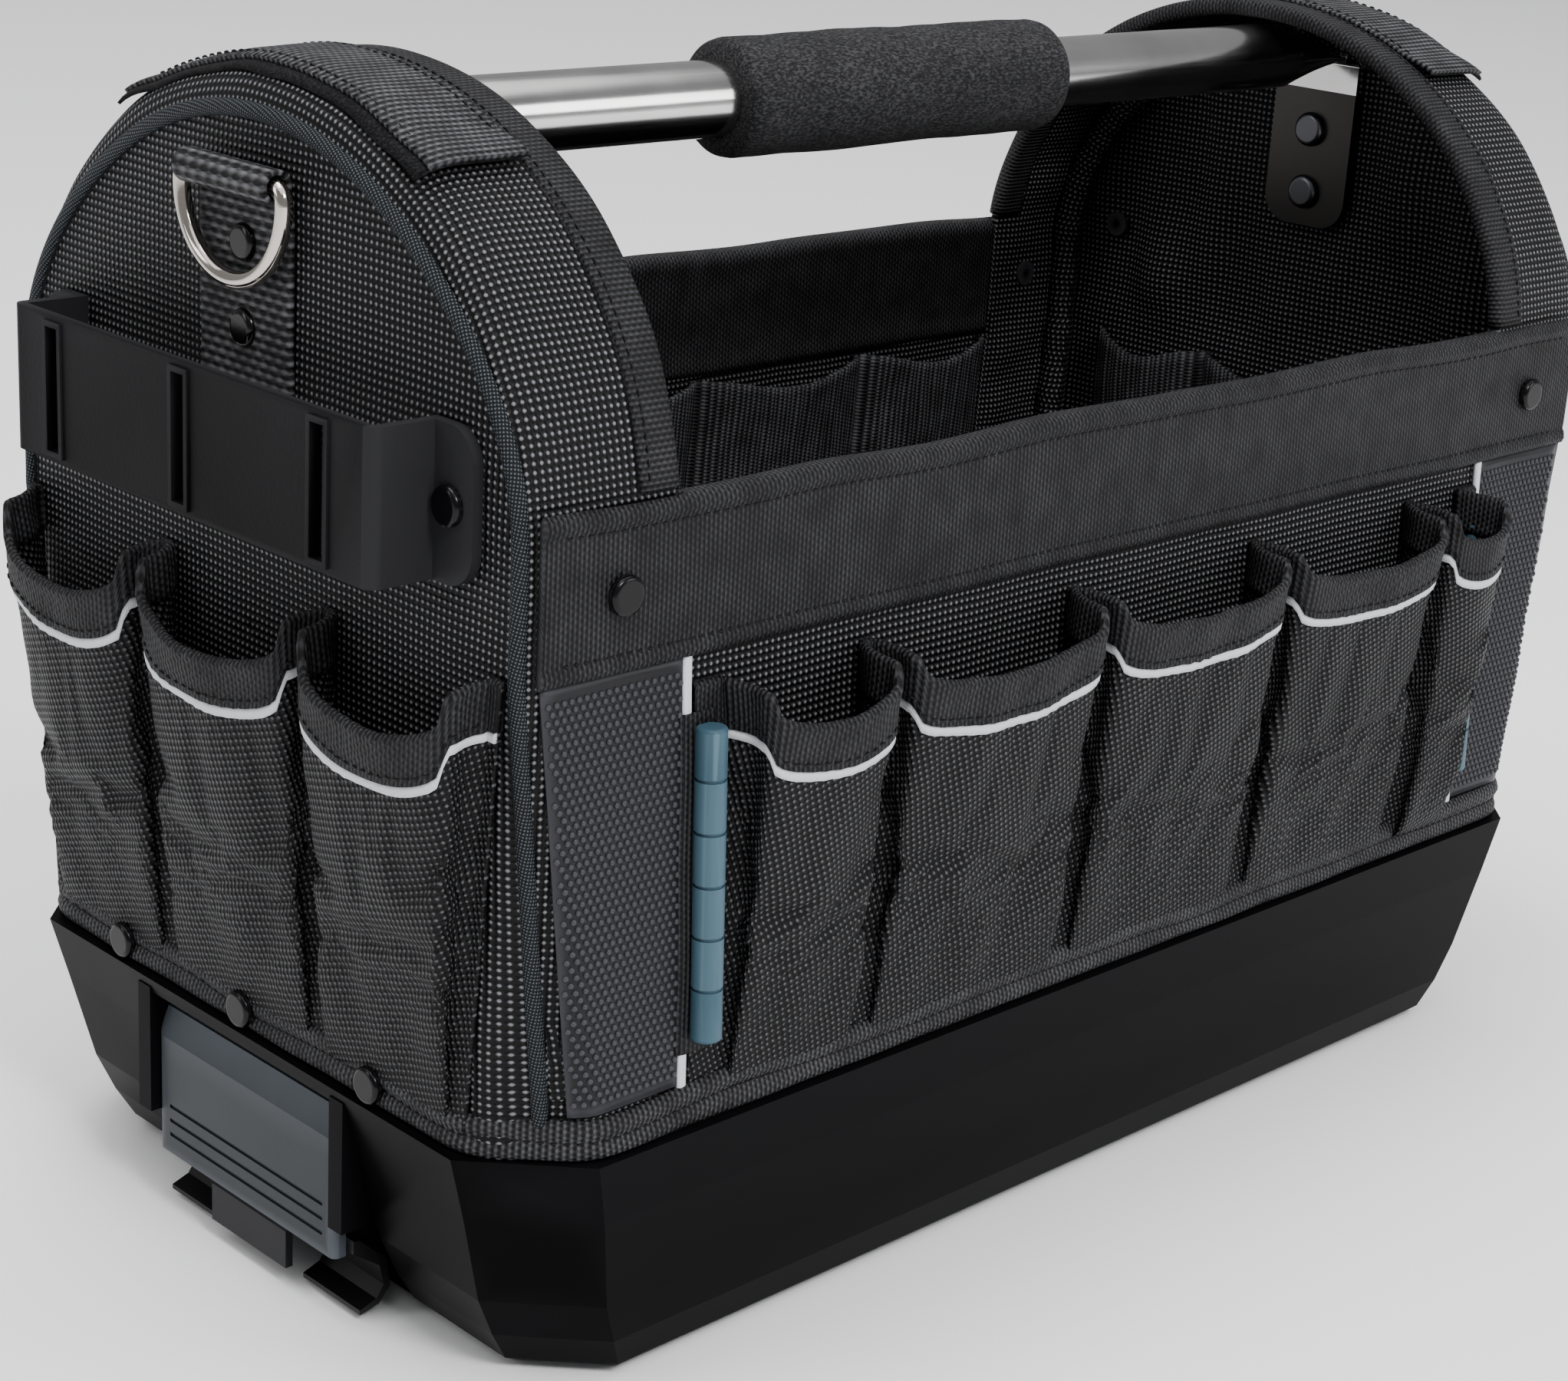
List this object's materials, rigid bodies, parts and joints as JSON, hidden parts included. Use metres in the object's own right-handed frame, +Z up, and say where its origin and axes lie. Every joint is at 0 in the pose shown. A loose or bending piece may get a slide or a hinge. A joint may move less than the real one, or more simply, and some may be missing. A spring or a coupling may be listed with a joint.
{
  "type": "open tool bag",
  "caption": "Open fabric tool bag on a moulded tub base, with arched hoods at both ends, a steel tube handle with a foam grip, pockets all round, swinging D-rings and hinged base latches.",
  "frame": {"origin": "on the floor under the middle of the base", "axes": "+X along the bag towards its right end, +Y towards its back long side, +Z up"},
  "size_m": [0.5016, 0.2656, 0.3406],
  "materials": {
    "tub": "semi-gloss moulded",
    "latch_slate": "satin moulded",
    "latch_black": "satin moulded",
    "pin_steel": "drawn",
    "webbing": "ribbed",
    "reflective": "retro-reflective",
    "piping": "woven",
    "patch": "studded",
    "bar": "satin moulded",
    "rod": "matte",
    "chrome": "polished",
    "foam": "fine open foam",
    "screw": "black oxide",
    "cap": "gloss",
    "bracket": "grained",
    "rivet": "gloss black",
    "cloth": "coarse woven polyester",
    "mesh": "ribbed elastic"
  },
  "bodies": {
    "bag": {"band_rivets": "rivet", "base_tub": "tub", "bracket_rivets": "rivet", "corner_patch_left_back": "patch", "corner_patch_left_front": "patch", "corner_patch_right_back": "patch", "corner_patch_right_front": "patch", "edge_bar_left_back": "bar", "edge_bar_left_front": "bar", "edge_bar_right_back": "bar", "edge_bar_right_front": "bar", "end_panel_left": "cloth", "end_panel_right": "cloth", "end_pocket_bindings_left": "webbing", "end_pocket_bindings_right": "webbing", "end_pockets_left": "cloth", "end_pockets_right": "cloth", "end_reflective_piping_left": "reflective", "end_reflective_piping_right": "reflective", "foam_grip": "foam", "frame_rod_left": "rod", "frame_rod_right": "rod", "gusset_left": "cloth", "gusset_right": "cloth", "handle_screws": "screw", "handle_tube": "chrome", "hem_band": "webbing", "hem_rivets": "rivet", "hood_binding_left": "webbing", "hood_binding_right": "webbing", "hood_piping_left": "piping", "hood_piping_right": "piping", "inner_loops_back": "webbing", "inner_pockets_left": "mesh", "inner_pockets_right": "mesh", "latch_pins": "pin_steel", "ring_strap_left": "webbing", "ring_strap_right": "webbing", "screw_caps": "cap", "side_panel_back": "cloth", "side_panel_front": "cloth", "side_pocket_bindings_back": "webbing", "side_pocket_bindings_front": "webbing", "side_pockets_back": "cloth", "side_pockets_front": "cloth", "side_reflective_piping_back": "reflective", "side_reflective_piping_front": "reflective", "slotted_bracket_left": "bracket", "slotted_bracket_right": "bracket", "strap_tab_left": "webbing", "strap_tab_right": "webbing", "top_band_back": "webbing", "top_band_front": "webbing"},
    "ring_left": {"d_ring_left": "chrome"},
    "ring_right": {"d_ring_right": "chrome"},
    "latch_left": {"latch_plate_left": "latch_slate", "latch_clip_left": "latch_black"},
    "latch_right": {"latch_plate_right": "latch_slate", "latch_clip_right": "latch_black"}
  },
  "joints": [
    {"name": "ring_left_swing", "type": "hinge", "parent": "bag", "child": "ring_left", "pos_m": [-0.234, 0, 0.31], "axis": [0, 1, 0], "range_deg": [0, 150]},
    {"name": "ring_right_swing", "type": "hinge", "parent": "bag", "child": "ring_right", "pos_m": [0.234, 0, 0.31], "axis": [0, -1, 0], "range_deg": [0, 150]},
    {"name": "latch_left_pull", "type": "hinge", "parent": "bag", "child": "latch_left", "pos_m": [-0.217, 0, 0.052], "axis": [0, 1, 0], "range_deg": [0, 20], "stiffness_Nm_per_rad": 0.3},
    {"name": "latch_right_pull", "type": "hinge", "parent": "bag", "child": "latch_right", "pos_m": [0.217, 0, 0.052], "axis": [0, -1, 0], "range_deg": [0, 20], "stiffness_Nm_per_rad": 0.3}
  ]
}
